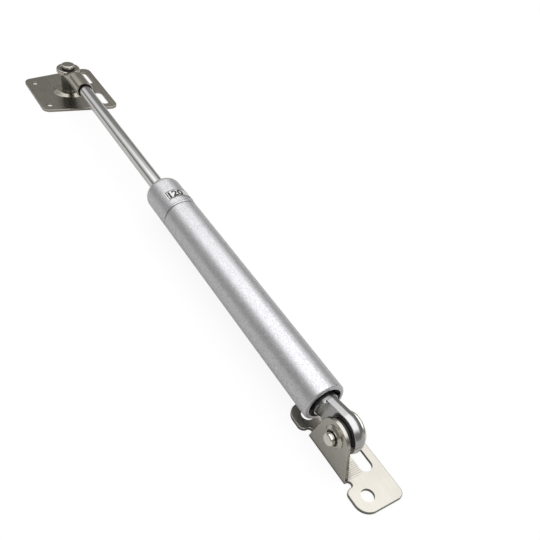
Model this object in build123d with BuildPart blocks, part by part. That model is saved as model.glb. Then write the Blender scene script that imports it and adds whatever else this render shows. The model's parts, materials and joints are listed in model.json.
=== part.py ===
from build123d import *
import math
import os

os.makedirs("parts", exist_ok=True)

# Gas spring for a cabinet door or lid, fully extended, lying on its two mounting plates.
# +X runs along the spring from the bracket to the door plate, +Z is up, and the origin is
# on the underside of the bracket, straight below the pivot pin. All sizes are in mm.

# Cylinder and rod
stroke = 80.0
tube_radius = 7.5
tube_wall = 0.9
rod_radius = 3.0
nose_round = 3.3
rim_round = 0.9
rim_lip = 0.6
nose_gap = 0.3
groove_depth = 0.45
groove_round = 0.9
rod_left_out = 8.8
tube_floor_gap = 3.5

# Clearances
bore_clearance = 0.08
running_clearance = 0.05
seal_clearance = 0.02
seat_gap = 0.05
washer_gap = 0.1
stop_gap = 0.2
bottom_gap = 1.0

# Pieces inside the nose
backing_washer_thickness = 1.5
seal_length = 5.0
seal_lip_depth = 2.4
seal_lip_thickness = 0.8
guide_length = 10.2
guide_step = 0.7

# Piston and what holds it on the rod
spigot_radius = 2.0
spigot_tip = 0.4
nut_length = 1.8
nut_width = 6.4
disc_thickness = 0.6
disc_radius = 5.2
piston_length = 4.6
piston_ring_width = 1.9
piston_ring_depth = 1.2
piston_orifice_radius = 0.4
front_washer_inset = 0.2

# Eye fitting at the closed end of the tube
pin_to_tube = 11.4
plug_length = 9.5
plug_ring_width = 2.2
plug_ring_depth = 1.4
plug_relief = 1.6
plug_bevel = 0.3
neck_radius = 4.5
neck_out = 0.7
neck_slant = 1.3
neck_step = 0.4
eye_radius = 7.0
eye_root_half_width = 5.0
eye_thickness = 3.6
eye_rim_crown = 0.45
eye_rim_flat = 0.8
eye_rim_blend = 2.3
eye_rim_round = 0.3
bush_wall = 0.65
bush_proud = 0.1

# Pivot pin
pin_radius = 2.9
pin_head_radius = 5.7
pin_head_thickness = 1.3
pin_head_round = 0.8
pin_head_gap = 0.2
pin_tail_radius = 2.1
pin_tail_out = 2.7
pin_chamfer = 0.3
pin_cap_radius = 3.9
pin_cap_edge = 0.3
pin_cap_crest_radius = 3.15
pin_cap_rise = 0.9
pin_cap_well_radius = 2.7
friction_washer_radius = 4.8
friction_washer_thickness = 1.4

# Bracket: a base plate with one upright ear
bracket_thickness = 1.2
bracket_half_length = 21.3
bracket_far_edge = 10.0
bracket_near_edge = 6.1
bracket_far_corner = 2.5
bracket_near_corner = 4.6
notch_corner = 2.1
bracket_hole_radius = 2.2
bracket_hole_spacing = 32.2
bracket_hole_offset = 0.8
bracket_slot_length = 19.7
bracket_slot_radius = 2.3
bracket_slot_offset = 4.95
ear_foot_width = 19.0
ear_top_radius = 6.5
ear_top_drop = 0.9
ear_bend_radius = 0.4
notch_width = 2.2
notch_depth = 1.8
bracket_edge_round = 0.25

# Pressed eye on the end of the rod
eye_reach = 24.6
sheet = 0.5
rod_end_neck_radius = 4.1
neck_straight = 11.8
neck_slot_width = 4.6
rod_grip = 10.2
rod_groove_radius = 2.3
rod_groove_width = 1.6
rod_groove_inset = 3.0
rod_chamfer = 0.4
sleeve_recess = 0.7
dish_radius = 5.8
dish_floor = 0.9
dish_depth = 1.4
dish_lip = 2.15
dish_root = 1.3
dish_wall_height = 0.4
dish_round = 0.5
taper_half_width = 4.2
taper_half_height = 1.35
taper_drop = 1.0

# Stud, its spacer and the washer under its head
stud_radius = 2.0
stud_head_radius = 3.3
stud_head_thickness = 1.25
stud_head_round = 0.55
stud_washer_radius = 3.2
stud_washer_thickness = 1.3
stud_washer_gap = 0.25
stud_flange_radius = 4.1
stud_flange = 0.8
spacer_wall = 1.65
spacer_length = 8.55
swivel_gap = 0.15
rivet_radius = 1.8
rivet_head_radius = 2.8
rivet_head_thickness = 0.7

# Door plate
plate_thickness = 1.2
plate_half_width = 18.5
plate_near_half_length = 17.0
plate_far_half_length = 22.9
plate_corner = 3.8
plate_hole_radius = 1.6
plate_hole_spacing = 24.2
plate_hole_offset = 14.0
plate_slot_spacing = 23.0
plate_slot_offset = 13.3
plate_slot_length = 13.6
plate_slot_radius = 2.05
plate_edge_round = 0.25
boss_base_radius = 8.0
boss_top_radius = 6.3
boss_rise = 1.3
boss_blend = 0.5

# Label on the collar
label_thickness = 0.08
label_length = 4.7
label_start = 3.5
label_start_angle = 30.5
label_sweep = 105.0

# Heights of the two pivots above the floor, and the slope of the spring between them
pin_height = bracket_thickness + tube_floor_gap + tube_radius
boss_top = plate_thickness + boss_rise
spacer_start = boss_top + stud_flange
spacer_top = spacer_start + spacer_length
stud_axis_height = spacer_top + swivel_gap + dish_depth

# Places along the spring, measured from the pivot pin
bore_radius = tube_radius - tube_wall
plug_start = pin_to_tube + tube_wall + seat_gap
plug_end = plug_start + plug_length
rod_tip = plug_end + bottom_gap + stroke
nut_start = rod_tip + spigot_tip
disc_start = nut_start + nut_length
piston_start = disc_start + disc_thickness
front_washer_start = piston_start + piston_length
rod_shoulder = front_washer_start + disc_thickness
groove_centre_radius = tube_radius - groove_depth + groove_round
bead_round = groove_round + tube_wall
bead_half_width = math.sqrt(bead_round**2 - (groove_centre_radius - bore_radius) ** 2)
groove_place = rod_shoulder + stop_gap + bead_half_width
backing_start = groove_place + bead_half_width + washer_gap
seal_start = backing_start + backing_washer_thickness
guide_start = seal_start + seal_length
guide_end = guide_start + guide_length
tube_end = guide_end + seat_gap + tube_wall
mouth = tube_end + stroke + rod_left_out
stud_place = mouth + eye_reach
rod_end = mouth + rod_grip
rod_groove = rod_end - rod_groove_inset

slope = math.asin((stud_axis_height - pin_height) / stud_place)
along = Vector(math.cos(slope), 0, math.sin(slope))
upright = Vector(-math.sin(slope), 0, math.cos(slope))
pin_point = Vector(0, 0, pin_height)
stud_x = stud_place * math.cos(slope)
spring_axis = Axis(pin_point, along)
pin_axis = Axis(pin_point, (0, 1, 0))
stud_axis = Axis((stud_x, 0, 0), (0, 0, 1))

# Profiles turned about the spring are drawn on the first plane (along the spring, outward),
# those turned about the pin on the second (outward, along the pin), and those turned about
# the stud on the third (outward, up).
spring_plane = Plane(origin=pin_point, x_dir=along, z_dir=(0, -1, 0))
pin_plane = Plane(origin=pin_point, x_dir=(1, 0, 0), z_dir=(0, 0, 1))
stud_plane = Plane(origin=(stud_x, 0, 0), x_dir=(1, 0, 0), z_dir=(0, -1, 0))
eye_plane = Plane(origin=pin_point + along * stud_place, x_dir=along, z_dir=upright)


def cross_plane(place):
    """Plane square to the spring, its X along the pin and its Y up."""
    return Plane(origin=pin_point + along * place, x_dir=(0, 1, 0), z_dir=along)


# Cylinder tube: rolled rim at the eye end, domed nose with the rod hole, crimp groove
nose_hole_radius = rod_radius + nose_gap
rim_hole_radius = tube_radius - rim_round - rim_lip
with BuildPart() as cylinder_tube:
    with BuildSketch(spring_plane):
        with BuildLine():
            Line((pin_to_tube, rim_hole_radius), (pin_to_tube, tube_radius - rim_round))
            TangentArc(
                (pin_to_tube, tube_radius - rim_round),
                (pin_to_tube + rim_round, tube_radius),
                tangent=(0, 1),
            )
            Line((pin_to_tube + rim_round, tube_radius), (tube_end - nose_round, tube_radius))
            TangentArc(
                (tube_end - nose_round, tube_radius),
                (tube_end, tube_radius - nose_round),
                tangent=(1, 0),
            )
            Polyline(
                (tube_end, tube_radius - nose_round),
                (tube_end, nose_hole_radius),
                (tube_end - tube_wall, nose_hole_radius),
                (tube_end - tube_wall, tube_radius - nose_round),
            )
            TangentArc(
                (tube_end - tube_wall, tube_radius - nose_round),
                (tube_end - nose_round, bore_radius),
                tangent=(0, 1),
            )
            Polyline(
                (tube_end - nose_round, bore_radius),
                (pin_to_tube + tube_wall, bore_radius),
                (pin_to_tube + tube_wall, rim_hole_radius),
                (pin_to_tube, rim_hole_radius),
            )
        make_face()
    revolve(axis=spring_axis)
    # the bead that the crimp raises in the bore, then the groove outside
    with BuildSketch(spring_plane):
        with Locations((groove_place, groove_centre_radius)):
            Circle(bead_round)
        with Locations((groove_place, bore_radius + tube_wall / 2)):
            Rectangle(2 * bead_round, 2 * bead_round, align=(Align.CENTER, Align.MIN), mode=Mode.SUBTRACT)
    revolve(axis=spring_axis)
    with BuildSketch(spring_plane):
        with Locations((groove_place, groove_centre_radius)):
            Circle(groove_round)
    revolve(axis=spring_axis, mode=Mode.SUBTRACT)
cylinder_tube.part.label = "cylinder_tube"

# Label: a thin curved sheet on the collar, between the groove and the nose, which starts on
# the ear's side and goes over the top
label_place = groove_place + label_start
with BuildPart() as force_label:
    with BuildSketch(spring_plane.rotated((-label_start_angle, 0, 0))):
        with Locations((label_place, tube_radius)):
            Rectangle(label_length, label_thickness, align=(Align.MIN, Align.MIN))
    revolve(axis=spring_axis, revolution_arc=label_sweep)
force_label.part.label = "force_label"

# Neck of the eye fitting: a round bar whose two sides slant in to the flat eye's thickness
neck_face = pin_to_tube - neck_out
flat_end = neck_face - neck_slant
side_plane = Plane(origin=pin_point, x_dir=along, z_dir=upright)
with BuildPart() as eye_neck:
    with BuildSketch(side_plane):
        Polygon(
            (flat_end, -eye_thickness / 2),
            (neck_face, -neck_radius),
            (neck_face, neck_radius),
            (flat_end, eye_thickness / 2),
            align=None,
        )
    extrude(amount=neck_radius, both=True)
    with BuildSketch(spring_plane):
        with Locations((flat_end, 0)):
            Rectangle(neck_slant, neck_radius - neck_step, align=(Align.MIN, Align.MIN))
    revolve(axis=spring_axis, mode=Mode.INTERSECT)

# Eye fitting: flat eye with a crowned rim, neck and the plug that closes the tube, in one piece
plug_radius = bore_radius - bore_clearance
plug_ring_place = (plug_start + plug_end) / 2
rim_slant = (eye_thickness - eye_rim_flat) / 2
with BuildPart() as eye_fitting:
    with BuildSketch(spring_plane):
        Circle(eye_radius)
        with Locations((flat_end, 0)):
            Rectangle(2 * neck_step, 2 * eye_root_half_width)
        make_hull()
    extrude(amount=eye_thickness / 2, both=True)
    for side in (0, -1):
        cheek = eye_fitting.faces().filter_by(Axis.Y).sort_by(Axis.Y)[side]
        buried_end = eye_fitting.faces().sort_by(spring_axis)[-1]
        chamfer(cheek.edges() - buried_end.edges(), eye_rim_crown, rim_slant, reference=cheek)
    buried_end = eye_fitting.faces().sort_by(spring_axis)[-1]
    crown = eye_fitting.edges().filter_by_position(Axis.Y, -eye_rim_flat, eye_rim_flat)
    fillet(crown.filter_by(Axis.Y, reverse=True) - buried_end.edges(), eye_rim_blend)
    buried_end = eye_fitting.faces().sort_by(spring_axis)[-1]
    fillet(eye_fitting.faces().filter_by(Axis.Y).edges() - buried_end.edges(), eye_rim_round)
    add(eye_neck.part)
    with BuildSketch(spring_plane):
        with BuildLine():
            Polyline(
                (neck_face, 0),
                (neck_face, neck_radius),
                (plug_start + plug_relief, neck_radius),
                (plug_start, rim_hole_radius),
                (plug_start, plug_radius - plug_bevel),
                (plug_start + plug_bevel, plug_radius),
                (plug_end, plug_radius),
                (plug_end, 0),
                close=True,
            )
        make_face()
    revolve(axis=spring_axis)
    with BuildSketch(spring_plane):
        with Locations((plug_ring_place, plug_radius)):
            Rectangle(plug_ring_width, 2 * plug_ring_depth)
    revolve(axis=spring_axis, mode=Mode.SUBTRACT)
    with BuildSketch(spring_plane):
        Circle(pin_radius + running_clearance + bush_wall)
    extrude(amount=eye_thickness, both=True, mode=Mode.SUBTRACT)
eye_fitting.part.label = "eye_fitting"

# O-ring in the plug's groove
o_ring_inner = plug_radius - plug_ring_depth
o_ring_section = (bore_radius - o_ring_inner) / 2 - seal_clearance
with BuildPart() as plug_o_ring:
    with BuildSketch(spring_plane):
        with Locations((plug_ring_place, o_ring_inner + seal_clearance + o_ring_section)):
            Circle(o_ring_section)
    revolve(axis=spring_axis)
plug_o_ring.part.label = "plug_o_ring"

# Plain bush pressed into the eye, running on the pin
bush_inner = pin_radius + running_clearance
with BuildPart() as eye_bush:
    with BuildSketch(spring_plane):
        Circle(bush_inner + bush_wall)
        Circle(bush_inner, mode=Mode.SUBTRACT)
    extrude(amount=eye_thickness / 2 + bush_proud, both=True)
eye_bush.part.label = "eye_bush"

# Rod guide: a bush in the nose, bevelled where the nose curves in
guide_radius = bore_radius - bore_clearance
guide_bevel = nose_round - tube_wall
with BuildPart() as rod_guide:
    with BuildSketch(spring_plane):
        with BuildLine():
            Polyline(
                (guide_start, rod_radius + running_clearance),
                (guide_start, guide_radius),
                (guide_end - guide_bevel, guide_radius),
                (guide_end, guide_radius - guide_bevel),
                (guide_end, rod_radius + running_clearance + guide_step),
                (guide_end - guide_step, rod_radius + running_clearance),
                close=True,
            )
        make_face()
    revolve(axis=spring_axis)
rod_guide.part.label = "rod_guide"

# Lip seal behind the guide, its two lips open towards the gas
seal_inner = rod_radius + seal_clearance
seal_outer = bore_radius - seal_clearance
seal_middle = (seal_inner + seal_outer) / 2
seal_end = seal_start + seal_length - seat_gap
with BuildPart() as rod_seal:
    with BuildSketch(spring_plane):
        with BuildLine():
            Polyline(
                (seal_start, seal_inner),
                (seal_start, seal_inner + seal_lip_thickness),
                (seal_start + seal_lip_depth, seal_middle),
                (seal_start, seal_outer - seal_lip_thickness),
                (seal_start, seal_outer),
                (seal_end, seal_outer),
                (seal_end, seal_inner),
                close=True,
            )
        make_face()
    revolve(axis=spring_axis)
rod_seal.part.label = "rod_seal"

# Backing washer between the seal and the bead
with BuildPart() as backing_washer:
    with BuildSketch(cross_plane(backing_start)):
        Circle(bore_radius - bore_clearance)
        Circle(rod_radius + nose_gap, mode=Mode.SUBTRACT)
    extrude(amount=backing_washer_thickness - seat_gap)
backing_washer.part.label = "backing_washer"

# Piston rod: spigot for the piston, plain shaft, groove and bevel at the outer end
with BuildPart() as piston_rod:
    with BuildSketch(spring_plane):
        with BuildLine():
            Polyline(
                (rod_tip, 0),
                (rod_tip, spigot_radius),
                (rod_shoulder, spigot_radius),
                (rod_shoulder, rod_radius),
                (rod_groove - rod_groove_width / 2, rod_radius),
                (rod_groove - rod_groove_width / 2, rod_groove_radius),
                (rod_groove + rod_groove_width / 2, rod_groove_radius),
                (rod_groove + rod_groove_width / 2, rod_radius),
                (rod_end - rod_chamfer, rod_radius),
                (rod_end, rod_radius - rod_chamfer),
                (rod_end, 0),
                close=True,
            )
        make_face()
    revolve(axis=spring_axis)
piston_rod.part.label = "piston_rod"

# Front washer, which meets the bead when the spring is fully out
with BuildPart() as piston_front_washer:
    with BuildSketch(cross_plane(front_washer_start)):
        Circle(bore_radius - front_washer_inset)
        Circle(spigot_radius, mode=Mode.SUBTRACT)
    extrude(amount=disc_thickness)
piston_front_washer.part.label = "piston_front_washer"

# Piston with its ring groove and a small orifice
piston_radius = bore_radius - bore_clearance
piston_ring_place = piston_start + piston_length / 2
ring_groove_radius = piston_radius - piston_ring_depth
orifice_place = (spigot_radius + ring_groove_radius) / 2
with BuildPart() as piston:
    with BuildSketch(cross_plane(piston_start)):
        Circle(piston_radius)
        Circle(spigot_radius, mode=Mode.SUBTRACT)
        with Locations((0, orifice_place)):
            Circle(piston_orifice_radius, mode=Mode.SUBTRACT)
    extrude(amount=piston_length)
    with BuildSketch(spring_plane):
        with Locations((piston_ring_place, ring_groove_radius)):
            Rectangle(
                piston_ring_width + 2 * seat_gap,
                2 * piston_ring_depth,
                align=(Align.CENTER, Align.MIN),
            )
    revolve(axis=spring_axis, mode=Mode.SUBTRACT)
piston.part.label = "piston"

# Piston ring, which slides in the bore and lets the piston turn inside it
with BuildPart() as piston_ring:
    with BuildSketch(cross_plane(piston_ring_place - piston_ring_width / 2)):
        Circle(bore_radius - seal_clearance)
        Circle(ring_groove_radius + running_clearance, mode=Mode.SUBTRACT)
    extrude(amount=piston_ring_width)
piston_ring.part.label = "piston_ring"

# Valve disc behind the piston, with the nut that holds the stack on the spigot
with BuildPart() as valve_disc:
    with BuildSketch(cross_plane(disc_start)):
        Circle(disc_radius)
        Circle(spigot_radius, mode=Mode.SUBTRACT)
    extrude(amount=disc_thickness)
valve_disc.part.label = "valve_disc"

with BuildPart() as piston_nut:
    with BuildSketch(cross_plane(nut_start)):
        RegularPolygon(nut_width / 2, 6, major_radius=False)
        Circle(spigot_radius, mode=Mode.SUBTRACT)
    extrude(amount=nut_length)
piston_nut.part.label = "piston_nut"

# Pressed eye on the rod's end: a neck rolled round the rod, open below, that widens and
# flattens into a dished ring round the stud
neck_inner = rod_end_neck_radius - sheet
taper_start = mouth + neck_straight
taper_end = stud_place - dish_radius + dish_root
hollow_end = stud_place - dish_radius
stud_hole_radius = stud_radius + bore_clearance
well_radius = dish_radius - dish_lip
dish_plane = Plane(origin=eye_plane.origin, x_dir=along, z_dir=(0, -1, 0))
dish_axis = Axis(eye_plane.origin, upright)
with BuildPart() as rod_end_eye:
    with BuildSketch(cross_plane(mouth)):
        Circle(rod_end_neck_radius)
    extrude(amount=neck_straight)
    with BuildSketch(cross_plane(taper_start)):
        Circle(rod_end_neck_radius)
    with BuildSketch(cross_plane(taper_end)):
        with Locations((0, -taper_drop)):
            Ellipse(taper_half_width, taper_half_height)
    loft()
    with BuildSketch(cross_plane(mouth)):
        Circle(neck_inner)
    extrude(amount=neck_straight, mode=Mode.SUBTRACT)
    with BuildSketch(cross_plane(taper_start)):
        Circle(neck_inner)
    with BuildSketch(cross_plane(hollow_end)):
        with Locations((0, -taper_drop)):
            Ellipse(taper_half_width - 2 * sheet, taper_half_height - sheet)
    loft(mode=Mode.SUBTRACT)
    # the opening along the underside
    with BuildSketch(side_plane):
        with Locations((mouth, 0)):
            Rectangle(hollow_end - mouth, neck_slot_width, align=(Align.MIN, Align.CENTER))
    extrude(amount=-2 * rod_end_neck_radius, mode=Mode.SUBTRACT)
    # the dish round the stud, with a rolled lip
    with BuildSketch(dish_plane):
        with BuildLine():
            Polyline(
                (0, -dish_depth),
                (dish_radius, -dish_depth),
                (dish_radius, dish_wall_height - dish_round),
            )
            TangentArc(
                (dish_radius, dish_wall_height - dish_round),
                (dish_radius - dish_round, dish_wall_height),
                tangent=(0, 1),
            )
            Polyline(
                (dish_radius - dish_round, dish_wall_height),
                (0, dish_wall_height),
                (0, -dish_depth),
            )
        make_face()
    revolve(axis=dish_axis)
    # the well inside the lip, where the stud's head lies
    with BuildSketch(dish_plane):
        with BuildLine():
            Polyline(
                (0, dish_floor - dish_depth),
                (well_radius, dish_floor - dish_depth),
                (well_radius, dish_wall_height - dish_round),
            )
            TangentArc(
                (well_radius, dish_wall_height - dish_round),
                (well_radius + dish_round, dish_wall_height),
                tangent=(0, 1),
            )
            Polyline(
                (well_radius + dish_round, dish_wall_height),
                (well_radius + dish_round, rod_end_neck_radius),
                (0, rod_end_neck_radius),
                (0, dish_floor - dish_depth),
            )
        make_face()
    revolve(axis=dish_axis, mode=Mode.SUBTRACT)
    with BuildSketch(eye_plane):
        Circle(stud_hole_radius)
    extrude(amount=2 * dish_depth, both=True, mode=Mode.SUBTRACT)
rod_end_eye.part.label = "rod_end_eye"

# Sleeve between the rod and the neck, with a rib in the rod's groove
sleeve_start = mouth + sleeve_recess
sleeve_inner = rod_radius + seal_clearance
with BuildPart() as rod_end_sleeve:
    with BuildSketch(spring_plane):
        with BuildLine():
            Polyline(
                (sleeve_start, sleeve_inner),
                (sleeve_start, neck_inner - seal_clearance),
                (rod_end - rod_chamfer, neck_inner - seal_clearance),
                (rod_end - rod_chamfer, sleeve_inner),
                (rod_groove + rod_groove_width / 2 - seat_gap, sleeve_inner),
                (rod_groove + rod_groove_width / 2 - seat_gap, rod_groove_radius + seal_clearance),
                (rod_groove - rod_groove_width / 2 + seat_gap, rod_groove_radius + seal_clearance),
                (rod_groove - rod_groove_width / 2 + seat_gap, sleeve_inner),
                close=True,
            )
        make_face()
    revolve(axis=spring_axis)
rod_end_sleeve.part.label = "rod_end_sleeve"

# Stud: flat head over the dish and its washer, shank, base flange on the boss, rivet head below it
stud_washer_base = stud_axis_height - dish_depth + dish_floor + stud_washer_gap
head_base = stud_washer_base + stud_washer_thickness
head_top = head_base + stud_head_thickness
rivet_seat = boss_rise
with BuildPart() as door_stud:
    with BuildSketch(stud_plane):
        with BuildLine():
            Polyline(
                (0, rivet_seat - rivet_head_thickness),
                (rivet_head_radius, rivet_seat - rivet_head_thickness),
                (rivet_head_radius, rivet_seat),
                (rivet_radius, rivet_seat),
                (rivet_radius, boss_top),
                (stud_flange_radius, boss_top),
                (stud_flange_radius, spacer_start),
                (stud_radius, spacer_start),
                (stud_radius, head_base),
                (stud_head_radius, head_base),
                (stud_head_radius, head_top - stud_head_round),
            )
            TangentArc(
                (stud_head_radius, head_top - stud_head_round),
                (stud_head_radius - stud_head_round, head_top),
                tangent=(0, 1),
            )
            Polyline(
                (stud_head_radius - stud_head_round, head_top),
                (0, head_top),
                (0, rivet_seat - rivet_head_thickness),
            )
        make_face()
    revolve(axis=stud_axis)
door_stud.part.label = "door_stud"

# Spacer bush round the stud, which carries the eye
with BuildPart() as stud_spacer:
    with BuildSketch(Plane.XY.offset(spacer_start)):
        with Locations((stud_x, 0)):
            Circle(stud_radius + running_clearance + spacer_wall)
            Circle(stud_radius + running_clearance, mode=Mode.SUBTRACT)
    extrude(amount=spacer_length)
stud_spacer.part.label = "stud_spacer"

# Washer under the stud's head, which keeps the eye from rattling in its dish
with BuildPart() as stud_washer:
    with BuildSketch(Plane.XY.offset(stud_washer_base)):
        with Locations((stud_x, 0)):
            Circle(stud_washer_radius)
            Circle(stud_radius + running_clearance, mode=Mode.SUBTRACT)
    extrude(amount=stud_washer_thickness)
stud_washer.part.label = "stud_washer"

# Door plate: trapezoid with round corners, two holes, two slots and a pressed boss
with BuildPart() as door_plate:
    with BuildSketch(Plane.XY) as plate_outline:
        with Locations((stud_x, 0)):
            Polygon(
                (-plate_near_half_length, plate_half_width),
                (-plate_far_half_length, -plate_half_width),
                (plate_far_half_length, -plate_half_width),
                (plate_near_half_length, plate_half_width),
                align=None,
            )
        fillet(plate_outline.vertices(), plate_corner)
        with Locations((stud_x, plate_hole_offset)):
            with GridLocations(plate_hole_spacing, 0, 2, 1):
                Circle(plate_hole_radius, mode=Mode.SUBTRACT)
        with Locations((stud_x, -plate_slot_offset)):
            with GridLocations(plate_slot_spacing, 0, 2, 1):
                SlotOverall(plate_slot_length, 2 * plate_slot_radius, mode=Mode.SUBTRACT)
    extrude(amount=plate_thickness)
    fillet(door_plate.faces().sort_by(Axis.Z)[-1].outer_wire().edges(), plate_edge_round)
    with BuildSketch(stud_plane):
        Polygon(
            (0, 0),
            (boss_base_radius, 0),
            (boss_base_radius, plate_thickness),
            (boss_top_radius, boss_top),
            (0, boss_top),
            align=None,
        )
    revolve(axis=stud_axis)
    for corner_radius in (boss_base_radius, boss_top_radius):
        round_edges = door_plate.edges().filter_by(GeomType.CIRCLE)
        corner_edge = min(round_edges, key=lambda edge: abs(edge.radius - corner_radius))
        fillet(corner_edge, boss_blend)
    with BuildSketch(stud_plane):
        Polygon(
            (0, 0),
            (boss_base_radius - plate_thickness, 0),
            (boss_top_radius - plate_thickness, boss_rise),
            (0, boss_rise),
            align=None,
        )
    revolve(axis=stud_axis, mode=Mode.SUBTRACT)
    with BuildSketch(Plane.XY):
        with Locations((stud_x, 0)):
            Circle(rivet_radius)
    extrude(amount=2 * boss_top, mode=Mode.SUBTRACT)
door_plate.part.label = "door_plate"

# Bracket: base plate with a lobe at each end, and between them, past two notches, an ear bent
# up at the near edge
ear_inner = eye_thickness / 2 + pin_head_gap + friction_washer_thickness
ear_outer = ear_inner + bracket_thickness
ear_half_foot = ear_foot_width / 2
notch_place = ear_half_foot + notch_width / 2
with BuildPart() as ear:
    with BuildSketch(Plane(origin=(0, ear_inner, 0), x_dir=(-1, 0, 0), z_dir=(0, 1, 0))):
        Rectangle(ear_foot_width, bracket_thickness, align=(Align.CENTER, Align.MIN))
        with Locations((0, pin_height - ear_top_drop)):
            Circle(ear_top_radius)
        make_hull()
        with Locations((0, pin_height)):
            Circle(pin_tail_radius, mode=Mode.SUBTRACT)
    extrude(amount=bracket_thickness)
    ear_rim = ear.faces().sort_by(Axis.Y)[-1].outer_wire().edges()
    fillet(ear_rim.filter_by(lambda edge: edge.center().Z > bracket_thickness), bracket_edge_round)

with BuildPart() as bracket:
    with BuildSketch(Plane.XY) as base_outline:
        with Locations((0, -bracket_far_edge)):
            Rectangle(
                2 * bracket_half_length,
                bracket_far_edge + bracket_near_edge,
                align=(Align.CENTER, Align.MIN),
            )
        with Locations((0, ear_outer)):
            Rectangle(
                2 * notch_place,
                bracket_near_edge,
                align=(Align.CENTER, Align.MIN),
                mode=Mode.SUBTRACT,
            )
        with Locations((0, bracket_near_edge)):
            with GridLocations(2 * notch_place, 0, 2, 1):
                SlotOverall(
                    2 * (bracket_near_edge - ear_outer + notch_depth),
                    notch_width,
                    rotation=90,
                    mode=Mode.SUBTRACT,
                )
        fillet(base_outline.vertices().group_by(Axis.Y)[0], bracket_far_corner)
        near_corners = base_outline.vertices().group_by(Axis.Y)[-1].sort_by(Axis.X)
        fillet((near_corners[0], near_corners[-1]), bracket_near_corner)
        near_corners = base_outline.vertices().group_by(Axis.Y)[-1].sort_by(Axis.X)
        fillet(near_corners[1:-1], notch_corner)
        with Locations((0, bracket_hole_offset)):
            with GridLocations(bracket_hole_spacing, 0, 2, 1):
                Circle(bracket_hole_radius, mode=Mode.SUBTRACT)
        with Locations((0, -bracket_slot_offset)):
            SlotOverall(bracket_slot_length, 2 * bracket_slot_radius, mode=Mode.SUBTRACT)
    extrude(amount=bracket_thickness)
    fillet(bracket.faces().sort_by(Axis.Z)[-1].outer_wire().edges(), bracket_edge_round)
    add(ear.part)
    near_edges = bracket.edges().filter_by(Axis.X).filter_by_position(Axis.Z, -seat_gap, seat_gap)
    fillet(near_edges.filter_by_position(Axis.Y, ear_outer - seat_gap, ear_outer + seat_gap), ear_bend_radius)
bracket.part.label = "bracket"

# Pivot pin: low head beyond the eye, shank through the bush, tail riveted in the ear
head_face = -(eye_thickness / 2 + pin_head_gap + bush_proud)
pin_tail_end = ear_outer + pin_tail_out
with BuildPart() as pivot_pin:
    with BuildSketch(pin_plane):
        with BuildLine():
            Polyline(
                (0, head_face - pin_head_thickness),
                (pin_head_radius - pin_head_round, head_face - pin_head_thickness),
            )
            TangentArc(
                (pin_head_radius - pin_head_round, head_face - pin_head_thickness),
                (pin_head_radius, head_face - pin_head_thickness + pin_head_round),
                tangent=(1, 0),
            )
            Polyline(
                (pin_head_radius, head_face - pin_head_thickness + pin_head_round),
                (pin_head_radius, head_face),
                (pin_radius, head_face),
                (pin_radius, ear_inner),
                (pin_tail_radius, ear_inner),
                (pin_tail_radius, pin_tail_end - pin_chamfer),
                (pin_tail_radius - pin_chamfer, pin_tail_end),
                (0, pin_tail_end),
                (0, head_face - pin_head_thickness),
            )
        make_face()
    revolve(axis=pin_axis)
pivot_pin.part.label = "pivot_pin"

# Push-on cap round the pin's tail: a flange that rises to a ring, and a well inside it
with BuildPart() as pin_cap:
    with BuildSketch(pin_plane):
        Polygon(
            (pin_tail_radius, ear_outer),
            (pin_cap_radius, ear_outer),
            (pin_cap_radius, ear_outer + pin_cap_edge),
            (pin_cap_crest_radius, ear_outer + pin_cap_rise),
            (pin_cap_well_radius, ear_outer + pin_cap_rise),
            (pin_cap_well_radius, ear_outer + pin_cap_edge),
            (pin_tail_radius, ear_outer + pin_cap_edge),
            align=None,
        )
    revolve(axis=pin_axis)
pin_cap.part.label = "pin_cap"

# Friction washer between the eye and the ear
with BuildPart() as friction_washer:
    with BuildSketch(Plane(origin=(0, ear_inner, pin_height), x_dir=(1, 0, 0), z_dir=(0, -1, 0))):
        Circle(friction_washer_radius)
        Circle(pin_radius + seal_clearance, mode=Mode.SUBTRACT)
    extrude(amount=friction_washer_thickness)
friction_washer.part.label = "friction_washer"

export_step(cylinder_tube.part, "parts/cylinder_tube.step")
export_step(force_label.part, "parts/force_label.step")
export_step(eye_fitting.part, "parts/eye_fitting.step")
export_step(plug_o_ring.part, "parts/plug_o_ring.step")
export_step(eye_bush.part, "parts/eye_bush.step")
export_step(rod_guide.part, "parts/rod_guide.step")
export_step(rod_seal.part, "parts/rod_seal.step")
export_step(backing_washer.part, "parts/backing_washer.step")
export_step(piston_rod.part, "parts/piston_rod.step")
export_step(piston_front_washer.part, "parts/piston_front_washer.step")
export_step(piston.part, "parts/piston.step")
export_step(piston_ring.part, "parts/piston_ring.step")
export_step(valve_disc.part, "parts/valve_disc.step")
export_step(piston_nut.part, "parts/piston_nut.step")
export_step(rod_end_eye.part, "parts/rod_end_eye.step")
export_step(rod_end_sleeve.part, "parts/rod_end_sleeve.step")
export_step(door_stud.part, "parts/door_stud.step")
export_step(stud_spacer.part, "parts/stud_spacer.step")
export_step(stud_washer.part, "parts/stud_washer.step")
export_step(door_plate.part, "parts/door_plate.step")
export_step(bracket.part, "parts/bracket.step")
export_step(pivot_pin.part, "parts/pivot_pin.step")
export_step(pin_cap.part, "parts/pin_cap.step")
export_step(friction_washer.part, "parts/friction_washer.step")

print("pin to stud", round(stud_place, 3), "slope", round(math.degrees(slope), 4))
print("stud at", round(stud_x, 4), "axis height", round(stud_axis_height, 4))
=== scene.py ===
import json
import math

import bmesh
import bpy
from mathutils import Matrix, Vector


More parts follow.
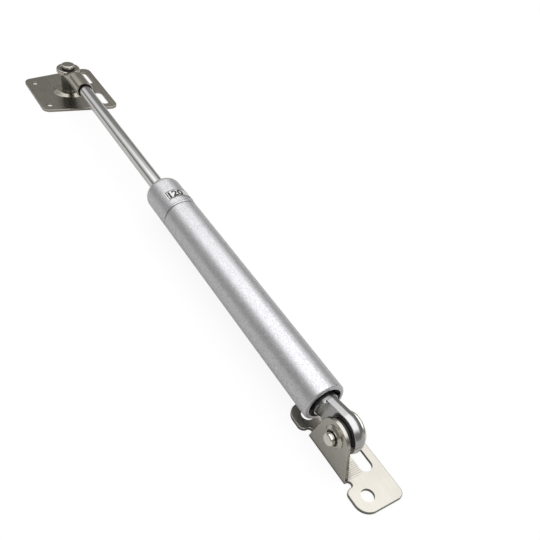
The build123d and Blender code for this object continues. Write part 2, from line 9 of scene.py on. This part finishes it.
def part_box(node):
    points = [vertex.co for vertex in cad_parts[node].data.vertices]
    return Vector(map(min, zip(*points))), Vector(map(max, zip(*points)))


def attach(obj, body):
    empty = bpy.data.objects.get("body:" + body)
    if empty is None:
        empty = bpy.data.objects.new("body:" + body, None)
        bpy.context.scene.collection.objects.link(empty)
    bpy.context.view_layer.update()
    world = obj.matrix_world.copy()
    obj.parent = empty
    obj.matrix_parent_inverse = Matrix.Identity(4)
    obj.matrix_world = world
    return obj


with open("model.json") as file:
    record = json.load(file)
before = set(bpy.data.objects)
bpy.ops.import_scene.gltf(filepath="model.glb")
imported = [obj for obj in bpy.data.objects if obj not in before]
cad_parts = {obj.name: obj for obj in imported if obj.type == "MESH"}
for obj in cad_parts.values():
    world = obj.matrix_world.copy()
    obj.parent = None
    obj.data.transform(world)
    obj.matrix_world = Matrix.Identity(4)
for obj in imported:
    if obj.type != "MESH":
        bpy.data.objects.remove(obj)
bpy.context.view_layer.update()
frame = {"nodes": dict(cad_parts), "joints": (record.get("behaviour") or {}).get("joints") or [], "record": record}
nodes = frame["nodes"]

MM = 0.001
WHITE = (1, 1, 1, 1)

# Places and directions of the spring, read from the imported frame
joints = {joint["name"]: joint for joint in frame["joints"]}
PIN = Vector(joints["bracket_pivot"]["pos_m"])
STUD = Vector(joints["door_plate_swivel"]["pos_m"])
ALONG = (STUD - PIN).normalized()
SIDE = Vector((0, 1, 0))
UPRIGHT = ALONG.cross(SIDE)

# Camera, at the photograph's viewing angle
CAMERA_PLACE = Vector((-74.86, 103.32, 174.29)) * MM
CAMERA_RIGHT = Vector((-0.52099, -0.83976, 0.15291))
CAMERA_DOWN = Vector((-0.61987, 0.24907, -0.74413))
CAMERA_LENS = 44.153
CAMERA_SENSOR = 36.0
CAMERA_NEAREST = 0.005
CAMERA_FARTHEST = 20

# Table. The camera sees it white, and what mirrors or bounces off it meets a darker tone.
FLOOR_SIZE = 6.0
FLOOR_WHITE = (0.93, 0.93, 0.93)
FLOOR_TONE = (0.56, 0.557, 0.54)
FLOOR_ROUGHNESS = 0.9
FLOOR_GLOW = 0.90
FLOOR_MIRROR_GLOW = 0.08

# Light tent. Angles are in degrees, and the ends of the strip are cosines to X.
TENT_COLOUR = (1, 0.985, 0.93, 1)
TENT_LEVEL = 0.265
STRIP = {"turn": -5, "reach": 24, "fade": 50, "ends": (-0.85, -0.55, 0.62, 0.82), "strength": 1.82}
SOFTBOXES = (
    {"centre": (0.74, 0.20, 0.64), "reach": 4, "fade": 16, "strength": 0.5},
    {"centre": (0.80, 0.42, 0.43), "reach": 6, "fade": 14, "strength": 0.5},
)

# Keeps the root in the strip light above zero along X
JUST_OVER_ONE = 1.0001

# Noise in the finishes: nearly all of it lies between these two levels
NOISE_LOW = 0.3
NOISE_HIGH = 0.7
NOISE_DETAIL = 3.0
NOISE_ROUGHNESS = 0.6

# How many times coarser than its grain a metal's mottle is, unless it says otherwise
MOTTLE_TIMES = 12
MOTTLE_DETAIL = 4.0

# How many times a grain is drawn out along X, Y and Z
EVEN = (1, 1, 1)
ROLLED = (30, 1, 1)
DRAWN = (40, 1, 1)

# Height of a grain at full bump
METAL_RELIEF = 0.05 * MM
DULL_RELIEF = 0.1 * MM

# Metals and metallic paint, by material slot or by the name of a finish of its own
PIN_NICKEL = {
    "dark": (0.48, 0.465, 0.42), "light": (0.54, 0.525, 0.48),
    "roughness": 0.16, "spread": 0.03, "grain": 1500, "bump": 0.015,
}
METALS = {
    "tube_paint": {
        "dark": (0.40, 0.40, 0.42), "light": (0.76, 0.76, 0.79),
        "roughness": 0.40, "spread": 0.06, "grain": 3600, "bump": 0.12, "metallic": 0.85, "mottle": 2500,
    },
    "rod_chrome": {
        "dark": (0.63, 0.63, 0.64), "light": (0.68, 0.68, 0.69),
        "roughness": 0.07, "spread": 0.02, "grain": 2600, "stretch": DRAWN, "bump": 0.01,
    },
    "bracket_nickel": {
        "dark": (0.43, 0.412, 0.375), "light": (0.47, 0.452, 0.415),
        "roughness": 0.23, "spread": 0.03, "grain": 1500, "stretch": ROLLED, "bump": 0.01,
    },
    "plate_nickel": {
        "dark": (0.33, 0.31, 0.275), "light": (0.37, 0.35, 0.315),
        "roughness": 0.25, "spread": 0.03, "grain": 1500, "stretch": ROLLED, "bump": 0.008,
    },
    "rod_end_nickel": {
        "dark": (0.42, 0.395, 0.345), "light": (0.47, 0.445, 0.395),
        "roughness": 0.20, "spread": 0.04, "grain": 1500, "bump": 0.015,
    },
    "eye_zinc": {
        "dark": (0.42, 0.42, 0.425), "light": (0.47, 0.47, 0.475),
        "roughness": 0.22, "spread": 0.04, "grain": 2400, "bump": 0.02,
    },
    "pin_nickel": PIN_NICKEL,
    "cap_nickel": PIN_NICKEL,
    # The pivot pin's finish: a lighter copy of the pin's nickel, painted light so that its tail face reads
    # brighter
    "pivot_nickel_lit": {
        "dark": (0.74, 0.72, 0.66), "light": (0.80, 0.78, 0.72),
        "roughness": 0.16, "spread": 0.03, "grain": 1500, "bump": 0.015,
    },
    "spacer_graphite": {
        "dark": (0.14, 0.134, 0.118), "light": (0.175, 0.168, 0.148),
        "roughness": 0.30, "spread": 0.03, "grain": 1800, "bump": 0.02, "metallic": 0.75,
    },
    "bush_bronze": {
        "dark": (0.40, 0.28, 0.14), "light": (0.55, 0.42, 0.24),
        "roughness": 0.40, "spread": 0.08, "grain": 2600, "bump": 0.04,
    },
    "inner_steel": {
        "dark": (0.38, 0.38, 0.39), "light": (0.48, 0.48, 0.49),
        "roughness": 0.30, "spread": 0.06, "grain": 2600, "bump": 0.03,
    },
    "piston_aluminium": {
        "dark": (0.62, 0.62, 0.63), "light": (0.70, 0.70, 0.71),
        "roughness": 0.32, "spread": 0.05, "grain": 2600, "bump": 0.03,
    },
    "label_film": {
        "dark": (0.70, 0.70, 0.71), "light": (0.75, 0.75, 0.76),
        "roughness": 0.40, "spread": 0.04, "grain": 1500, "bump": 0.02, "metallic": 0.5,
    },
}

# Plastics, rubber and ink
DULLS = {
    "seal_rubber": {
        "dark": (0.015, 0.015, 0.015), "light": (0.035, 0.035, 0.035),
        "roughness": 0.55, "grain": 1800, "bump": 0.05,
    },
    "guide_plastic": {
        "dark": (0.68, 0.66, 0.58), "light": (0.74, 0.72, 0.64),
        "roughness": 0.45, "grain": 1500, "bump": 0.05,
    },
    "black_plastic": {
        "dark": (0.018, 0.018, 0.018), "light": (0.035, 0.034, 0.033),
        "roughness": 0.42, "grain": 1800, "bump": 0.05,
    },
    "printed_ink": {
        "dark": (0.012, 0.012, 0.013), "light": (0.03, 0.03, 0.03),
        "roughness": 0.45, "grain": 3000, "bump": 0.02,
    },
}

# Nodes whose finish differs from that of their material slot
OWN_FINISH = {"pin_cap": "cap_nickel", "pivot_pin": "pivot_nickel_lit", "stud_spacer": "spacer_graphite"}

# Painted shade in the gap behind the tube's rim: the eye fitting is darkened there
GAP_START = 0.5 * MM
GAP_SOFT = 0.6 * MM
GAP_KEEP = 0.05

# Painted shade and dust in the groove behind the collar, which is between these two depths
GROOVE_SHALLOWEST = 0.05 * MM
GROOVE_DEEPEST = 0.8 * MM
GROOVE_HALF = 0.22 * MM
GROOVE_SOFT = 0.12 * MM
GROOVE_KEEP = 0.3

# Sheared edges and hole walls of the bracket, below its top face: darker partly as painted shade and partly as
# duller cut steel
SHEAR_TOP = 0.95 * MM
SHEAR_SOFT = 0.15 * MM
SHEAR_KEEP = 0.42

# Marks of the bending tool across the foot of the bracket's ear
MARKS_X = (-9.8 * MM, -4.0 * MM)
MARKS_Y = (-3.0 * MM, 4.4 * MM)
MARKS_SOFT = 0.8 * MM
MARKS_PITCH = 0.65 * MM
MARKS_DEPTH = 0.5
MARKS_WAVE = {"Distortion": 2.0, "Detail": 2.0, "Detail Scale": 1.5}
MARKS_LINE_START = 0.55

# Length of a wave texture of scale 1
WAVE_LENGTH = math.pi / 10

# Painted shade in the well of the pin's cap, round its tail
WELL_START = 2.0 * MM
WELL_END = 2.6 * MM
WELL_SOFT = 0.2 * MM
WELL_KEEP = 0.3

# Label: a thin frame and plain digits printed on the film, which is wrapped round the collar
LABEL_DIGITS = "120"
LABEL_START = math.radians(30.5)
LABEL_SWEEP = math.radians(105)
PRINT_LIFT = 0.012 * MM
PRINT_THICKNESS = 0.008 * MM
FRAME_WIDTH = 0.34 * MM
FRAME_INSET = 0.12 * MM
FRAME_LONG_STEPS = 48
FRAME_SHORT_STEPS = 2
DIGIT_HEIGHT = 3.3 * MM
DIGIT_WEIGHT = 0.04
DIGIT_HALF_THICKNESS = 0.5
DIGIT_ROUNDNESS = 6
DIGIT_SLICE = 0.25 * MM
DIGITS_START = math.radians(24.5)


def along_and_out(name):
    """Each corner of a node's mesh: its place along the spring from the pin, and how far out it is."""
    points = []
    for corner in nodes[name].data.vertices:
        offset = corner.co - PIN
        place = offset.dot(ALONG)
        points.append((place, (offset - ALONG * place).length))
    return points


def groove_place():
    """Where the groove behind the collar lies on the tube, in the part's own X."""
    tube = along_and_out("cylinder_tube")
    outer = max(out for place, out in tube)
    label_start = min(place for place, out in along_and_out("force_label"))
    middle = label_start / 2
    bottom = [
        place for place, out in tube
        if middle < place < label_start and outer - GROOVE_DEEPEST < out < outer - GROOVE_SHALLOWEST
    ]
    return PIN.x + sum(bottom) / len(bottom)


def node(tree, kind, inputs=None, **settings):
    """Adds a shader node, with its settings and its inputs, each a plain value or an output to link."""
    made = tree.nodes.new(kind)
    for key, value in settings.items():
        setattr(made, key, value)
    for key, value in (inputs or {}).items():
        if isinstance(value, bpy.types.NodeSocket):
            tree.links.new(value, made.inputs[key])
        else:
            made.inputs[key].default_value = value
    return made


def sums(tree, operation, *terms):
    """The result of one sum, on outputs and plain numbers."""
    made = node(tree, "ShaderNodeMath", dict(enumerate(terms)), operation=operation)
    return made.outputs["Value"]


def two_colours(tree, value, first, last, start=0.0, end=1.0):
    """A colour that goes from first to last as a shader value goes from start to end."""
    made = node(tree, "ShaderNodeValToRGB", {"Fac": value})
    low, high = made.color_ramp.elements
    low.position = start
    low.color = (*first, 1)
    high.position = end
    high.color = (*last, 1)
    return made.outputs["Color"]


def own_place(tree):
    """The object's own coordinates."""
    return node(tree, "ShaderNodeTexCoord").outputs["Object"]


def own_parts(tree):
    """The object's own coordinates apart, by the names of the axes."""
    return node(tree, "ShaderNodeSeparateXYZ", {"Vector": own_place(tree)}).outputs


def scaled_noise(tree, scale, stretch=EVEN, detail=NOISE_DETAIL):
    """Noise on the object's own coordinates, drawn out along an axis whose stretch is over 1."""
    mapping = node(tree, "ShaderNodeMapping", {
        "Vector": own_place(tree), "Scale": tuple(1 / times for times in stretch),
    })
    noise = node(tree, "ShaderNodeTexNoise", {
        "Vector": mapping.outputs["Vector"], "Scale": scale, "Detail": detail, "Roughness": NOISE_ROUGHNESS,
    })
    return noise.outputs["Fac"]


def new_material(name):
    """A new material, its node tree and the shader in it."""
    material = bpy.data.materials.new(name)
    material.use_nodes = True
    tree = material.node_tree
    return material, tree, tree.nodes["Principled BSDF"]


def emboss(tree, shader, noise, bump, relief):
    """Gives a finish the height of a noise."""
    height = node(tree, "ShaderNodeBump", {"Strength": bump, "Distance": relief, "Height": noise})
    tree.links.new(height.outputs["Normal"], shader.inputs["Normal"])


def metal(name, dark, light, roughness, spread, grain, bump, stretch=EVEN, metallic=1.0, mottle=None):
    """Plated or painted metal: roughness and height vary with a fine grain, and colour with a mottle."""
    material, tree, shader = new_material(name)
    shader.inputs["Metallic"].default_value = metallic
    cloud = scaled_noise(tree, mottle or grain / MOTTLE_TIMES, detail=MOTTLE_DETAIL)
    fine = scaled_noise(tree, grain, stretch)
    colour = two_colours(tree, cloud, dark, light, NOISE_LOW, NOISE_HIGH)
    rough = node(tree, "ShaderNodeMapRange", {
        "Value": fine, "From Min": NOISE_LOW, "From Max": NOISE_HIGH,
        "To Min": roughness - spread, "To Max": roughness + spread,
    })
    tree.links.new(colour, shader.inputs["Base Color"])
    tree.links.new(rough.outputs["Result"], shader.inputs["Roughness"])
    emboss(tree, shader, fine, bump, METAL_RELIEF)
    return material


def dull(name, dark, light, roughness, grain, bump):
    """Plastic, rubber or ink: a soft mottle in colour and height."""
    material, tree, shader = new_material(name)
    shader.inputs["Roughness"].default_value = roughness
    noise = scaled_noise(tree, grain)
    colour = two_colours(tree, noise, dark, light, NOISE_LOW, NOISE_HIGH)
    tree.links.new(colour, shader.inputs["Base Color"])
    emboss(tree, shader, noise, bump, DULL_RELIEF)
    return material


def scale_colour(tree, level):
    """Multiplies a finish's colour by a shader value."""
    shader = tree.nodes["Principled BSDF"]
    colour = shader.inputs["Base Color"].links[0].from_socket
    dim = node(tree, "ShaderNodeVectorMath", {0: colour, "Scale": level}, operation="SCALE")
    tree.links.new(dim.outputs["Vector"], shader.inputs["Base Color"])


def dim_where(tree, value, start, end, soft, keep):
    """Dims a finish to keep times its colour where a value is between start and end, with soft edges."""
    before = node(tree, "ShaderNodeMapRange", {
        "Value": value, "From Min": start - soft, "From Max": start, "To Min": 1.0, "To Max": keep,
    })
    after = node(tree, "ShaderNodeMapRange", {
        "Value": value, "From Min": end, "From Max": end + soft, "To Min": keep, "To Max": 1.0,
    })
    scale_colour(tree, sums(tree, "MAXIMUM", before.outputs["Result"], after.outputs["Result"]))


def groove_shade_and_dust(paint):
    """Painted shade and dust in the tube's groove."""
    tree = paint.node_tree
    along = own_parts(tree)["X"]
    groove = groove_place()
    dim_where(tree, along, groove - GROOVE_HALF, groove + GROOVE_HALF, GROOVE_SOFT, GROOVE_KEEP)


def gap_painted_shade(zinc):
    """Painted shade on the eye fitting, where it is inside the tube's rim."""
    tree = zinc.node_tree
    along = own_parts(tree)["X"]
    tube_low, tube_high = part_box("cylinder_tube")
    dim_where(tree, along, tube_low[0] + GAP_START + GAP_SOFT, tube_high[0], GAP_SOFT, GAP_KEEP)


def shaded_sheared_edges(nickel):
    """Painted shade and duller cut steel on the edges and hole walls of the bracket, below its top face."""
    tree = nickel.node_tree
    dim_where(tree, own_parts(tree)["Z"], -SHEAR_TOP, SHEAR_TOP, SHEAR_SOFT, SHEAR_KEEP)


def bend_marks(nickel):
    """Fine lines across the foot of the ear, fading out at the ends of their patch."""
    tree = nickel.node_tree
    wave = node(tree, "ShaderNodeTexWave", {
        "Vector": own_place(tree), "Scale": WAVE_LENGTH / MARKS_PITCH, **MARKS_WAVE,
    }, bands_direction="X")
    lines = node(tree, "ShaderNodeMapRange", {
        "Value": wave.outputs["Fac"], "From Min": MARKS_LINE_START, "From Max": 1.0, "To Max": MARKS_DEPTH,
    })
    depth = lines.outputs["Result"]
    parts = own_parts(tree)
    for axis, (low, high) in (("X", MARKS_X), ("Y", MARKS_Y)):
        for outer, inner in ((low, low + MARKS_SOFT), (high, high - MARKS_SOFT)):
            edge = node(tree, "ShaderNodeMapRange", {
                "Value": parts[axis], "From Min": outer, "From Max": inner,
            })
            depth = sums(tree, "MULTIPLY", depth, edge.outputs["Result"])
    scale_colour(tree, sums(tree, "SUBTRACT", 1.0, depth))


def painted_well_shade(nickel):
    """Painted shade between two distances from the pivot pin's axis."""
    tree = nickel.node_tree
    across = node(tree, "ShaderNodeMapping", {
        "Vector": own_place(tree), "Location": (-PIN.x, 0, -PIN.z), "Scale": (1, 0, 1),
    })
    distance = node(tree, "ShaderNodeVectorMath", {0: across.outputs["Vector"]}, operation="LENGTH")
    dim_where(tree, distance.outputs["Value"], WELL_START, WELL_END, WELL_SOFT, WELL_KEEP)


def make_finishes():
    """Every finish by its name, with the painted shade, the dust and the marks on it."""
    finishes = {name: metal(name, **look) for name, look in METALS.items()}
    for name, look in DULLS.items():
        finishes[name] = dull(name, **look)
    groove_shade_and_dust(finishes["tube_paint"])
    gap_painted_shade(finishes["eye_zinc"])
    shaded_sheared_edges(finishes["bracket_nickel"])
    bend_marks(finishes["bracket_nickel"])
    painted_well_shade(finishes["cap_nickel"])
    return finishes


def dress_nodes(finishes):
    """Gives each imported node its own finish, or else that of its material slot."""
    for part in frame["record"]["subparts"]:
        body = nodes[part["node"]]
        finish = OWN_FINISH.get(part["node"], part["material_slot"])
        body.data.materials.clear()
        body.data.materials.append(finishes[finish])


def wrapped(place, angle, radius):
    """A point round the tube: place along the spring from the pin, angle from its top towards the ear."""
    return PIN + ALONG * place + (UPRIGHT * math.cos(angle) + SIDE * math.sin(angle)) * radius


def add_print(name, mesh, ink):
    """Puts a printed piece on the label, to move with the cylinder."""
    piece = bpy.data.objects.new(name, mesh)
    bpy.context.scene.collection.objects.link(piece)
    mesh.materials.append(ink)
    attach(piece, "cylinder")


def label_box():
    """Where the label's film starts and ends along the spring, and its outer radius."""
    points = along_and_out("force_label")
    places = [place for place, out in points]
    return min(places), max(places), max(out for place, out in points)


def label_strip(data, places, angles, radius, steps):
    """A closed strip of print between two places along and two angles round the tube."""
    near, far = places
    first_angle, last_angle = angles
    rings = []
    for step in range(steps + 1):
        angle = first_angle + (last_angle - first_angle) * step / steps
        ring = []
        for place, lift in ((near, 0), (far, 0), (far, PRINT_THICKNESS), (near, PRINT_THICKNESS)):
            ring.append(data.verts.new(wrapped(place, angle, radius + lift)))
        rings.append(ring)
    for first, second in zip(rings, rings[1:]):
        for side in range(4):
            other = (side + 1) % 4
            data.faces.new((first[side], first[other], second[other], second[side]))
    data.faces.new(rings[0][::-1])
    data.faces.new(rings[-1])


def make_label_frame(ink):
    """A thin frame along the edges of the film, just above it."""
    start, end, outer = label_box()
    radius = outer + PRINT_LIFT
    near = start + FRAME_INSET
    far = end - FRAME_INSET
    inset = FRAME_INSET / radius
    turn = FRAME_WIDTH / radius
    first = LABEL_START - inset
    last = LABEL_START - LABEL_SWEEP + inset
    inside = (near + FRAME_WIDTH, far - FRAME_WIDTH)
    data = bmesh.new()
    label_strip(data, (near, near + FRAME_WIDTH), (first, last), radius, FRAME_LONG_STEPS)
    label_strip(data, (far - FRAME_WIDTH, far), (first, last), radius, FRAME_LONG_STEPS)
    label_strip(data, inside, (first, first - turn), radius, FRAME_SHORT_STEPS)
    label_strip(data, inside, (last + turn, last), radius, FRAME_SHORT_STEPS)
    bmesh.ops.recalc_face_normals(data, faces=data.faces)
    mesh = bpy.data.meshes.new("label_frame")
    data.to_mesh(mesh)
    data.free()
    add_print("label_frame", mesh, ink)


def flat_digits():
    """A flat mesh of the digits, in the letters' own units."""
    letters = bpy.data.curves.new("label_digits", "FONT")
    letters.body = LABEL_DIGITS
    letters.offset = DIGIT_WEIGHT
    letters.extrude = DIGIT_HALF_THICKNESS
    letters.resolution_u = DIGIT_ROUNDNESS
    holder = bpy.data.objects.new("label_text", letters)
    mesh = bpy.data.meshes.new_from_object(holder)
    bpy.data.objects.remove(holder)
    mesh.name = "label_digits"
    mesh.materials.clear()
    return mesh


def slice_digits(mesh, left, right, step):
    """Cuts flat digits into narrow slices, so that they bend with the film and don't cut through it."""
    data = bmesh.new()
    data.from_mesh(mesh)
    for cut in range(1, math.ceil((right - left) / step)):
        everything = data.verts[:] + data.edges[:] + data.faces[:]
        place = (left + cut * step, 0, 0)
        bmesh.ops.bisect_plane(data, geom=everything, plane_co=place, plane_no=(1, 0, 0))
    data.to_mesh(mesh)
    data.free()


def make_label_digits(ink):
    """The digits, bent round the tube just above the film."""
    start, end, outer = label_box()
    radius = outer + PRINT_LIFT
    middle = (start + end) / 2
    mesh = flat_digits()
    height = max(vert.co.y for vert in mesh.vertices)
    left = min(vert.co.x for vert in mesh.vertices)
    right = max(vert.co.x for vert in mesh.vertices)
    scale = DIGIT_HEIGHT / height
    slice_digits(mesh, left, right, DIGIT_SLICE / scale)
    for vert in mesh.vertices:
        place = middle + (vert.co.y - height / 2) * scale
        angle = DIGITS_START - (vert.co.x - left) * scale / radius
        lift = PRINT_THICKNESS * (vert.co.z + DIGIT_HALF_THICKNESS)
        vert.co = wrapped(place, angle, radius + lift)
    add_print("label_digits", mesh, ink)


def make_camera():
    """The photograph's camera, aimed by which way its right and its down point."""
    data = bpy.data.cameras.new("photo_camera")
    data.lens = CAMERA_LENS
    data.sensor_width = CAMERA_SENSOR
    data.clip_start = CAMERA_NEAREST
    data.clip_end = CAMERA_FARTHEST
    camera = bpy.data.objects.new("photo_camera", data)
    bpy.context.scene.collection.objects.link(camera)
    right = CAMERA_RIGHT.normalized()
    up = -CAMERA_DOWN.normalized()
    back = right.cross(up)
    turn = Matrix((right, up, back)).transposed()
    camera.matrix_world = Matrix.Translation(CAMERA_PLACE) @ turn.to_4x4()
    bpy.context.scene.camera = camera


def floor_finish():
    """White to the camera but for the spring's shadow, darker to the light that comes off it."""
    material, tree, shader = new_material("floor_white")
    shader.inputs["Roughness"].default_value = FLOOR_ROUGHNESS
    rays = node(tree, "ShaderNodeLightPath").outputs
    tone = two_colours(tree, rays["Is Camera Ray"], FLOOR_TONE, FLOOR_WHITE)
    tree.links.new(tone, shader.inputs["Base Color"])
    seen = sums(tree, "MAXIMUM", rays["Is Camera Ray"], rays["Is Transmission Ray"])
    mirrored = sums(tree, "MULTIPLY", rays["Is Glossy Ray"], FLOOR_MIRROR_GLOW)
    share = sums(tree, "MULTIPLY_ADD", seen, FLOOR_GLOW, mirrored)
    white = node(tree, "ShaderNodeEmission", {"Color": WHITE, "Strength": 1.0})
    mix = node(tree, "ShaderNodeMixShader", {"Fac": share, 1: shader.outputs[0], 2: white.outputs[0]})
    tree.links.new(mix.outputs["Shader"], tree.nodes["Material Output"].inputs["Surface"])
    return material


def make_floor():
    """A white table that keeps the soft shadow of the spring."""
    half = FLOOR_SIZE / 2
    corners = [(-half, -half, 0), (half, -half, 0), (half, half, 0), (-half, half, 0)]
    mesh = bpy.data.meshes.new("floor")
    mesh.from_pydata(corners, [], [(0, 1, 2, 3)])
    mesh.materials.append(floor_finish())
    floor = bpy.data.objects.new("floor", mesh)
    bpy.context.scene.collection.objects.link(floor)


def cosine_to(tree, direction, aim):
    """The cosine between a direction in the sky and an aim of length 1."""
    dot = node(tree, "ShaderNodeVectorMath", {0: direction, 1: aim}, operation="DOT_PRODUCT")
    return dot.outputs["Value"]


def smooth_step(tree, value, start, end, level=1.0):
    """Goes smoothly from 0 to a level as a value goes from start to end."""
    made = node(tree, "ShaderNodeMapRange", {
        "Value": value, "From Min": start, "From Max": end, "To Max": level,
    }, interpolation_type="SMOOTHSTEP")
    return made.outputs["Result"]


def fall_off(tree, cosine, reach, fade, strength):
    """Full strength within reach degrees, nothing past fade."""
    return smooth_step(tree, cosine, math.cos(math.radians(fade)), math.cos(math.radians(reach)), strength)


def glow(tree, direction, centre, reach, fade, strength):
    """Light from a round patch of the sky: full within reach degrees of its centre, gone past fade."""
    return fall_off(tree, cosine_to(tree, direction, Vector(centre).normalized()), reach, fade, strength)


def strip_light(tree, direction, turn, reach, fade, ends, strength):
    """Light from a long softbox over the spring, parallel to X, turned about X from overhead.

    It is full within reach degrees of its middle line and gone past fade. Its ends are the
    cosines to X at which it starts, is full, starts to fade and is gone.
    """
    middle = (0, math.sin(math.radians(turn)), math.cos(math.radians(turn)))
    along = node(tree, "ShaderNodeSeparateXYZ", {"Vector": direction}).outputs["X"]
    square = sums(tree, "MULTIPLY", along, along)
    across = sums(tree, "SQRT", sums(tree, "SUBTRACT", JUST_OVER_ONE, square))
    cosine = sums(tree, "DIVIDE", cosine_to(tree, direction, middle), across)
    width = fall_off(tree, cosine, reach, fade, strength)
    near = smooth_step(tree, along, ends[0], ends[1])
    far = smooth_step(tree, along, ends[3], ends[2])
    return sums(tree, "MULTIPLY", width, sums(tree, "MULTIPLY", near, far))


def make_world():
    """A dim light tent with a long softbox overhead and two small ones. The camera sees plain white."""
    world = bpy.data.worlds.new("studio")
    bpy.context.scene.world = world
    world.use_nodes = True
    tree = world.node_tree
    tree.nodes.clear()
    direction = node(tree, "ShaderNodeTexCoord").outputs["Generated"]
    level = strip_light(tree, direction, **STRIP)
    for softbox in SOFTBOXES:
        level = sums(tree, "ADD", level, glow(tree, direction, **softbox))
    lamps = node(tree, "ShaderNodeBackground", {"Color": WHITE, "Strength": level})
    tent = node(tree, "ShaderNodeBackground", {"Color": TENT_COLOUR, "Strength": TENT_LEVEL})
    room = node(tree, "ShaderNodeAddShader", {0: tent.outputs[0], 1: lamps.outputs[0]})
    white = node(tree, "ShaderNodeBackground", {"Color": WHITE, "Strength": 1.0})
    camera_ray = node(tree, "ShaderNodeLightPath").outputs["Is Camera Ray"]
    mix = node(tree, "ShaderNodeMixShader", {"Fac": camera_ray, 1: room.outputs[0], 2: white.outputs[0]})
    node(tree, "ShaderNodeOutputWorld", {"Surface": mix.outputs["Shader"]})


finishes = make_finishes()
dress_nodes(finishes)
make_label_frame(finishes["printed_ink"])
make_label_digits(finishes["printed_ink"])
make_camera()
make_floor()
make_world()
bpy.context.scene.view_settings.view_transform = "Standard"
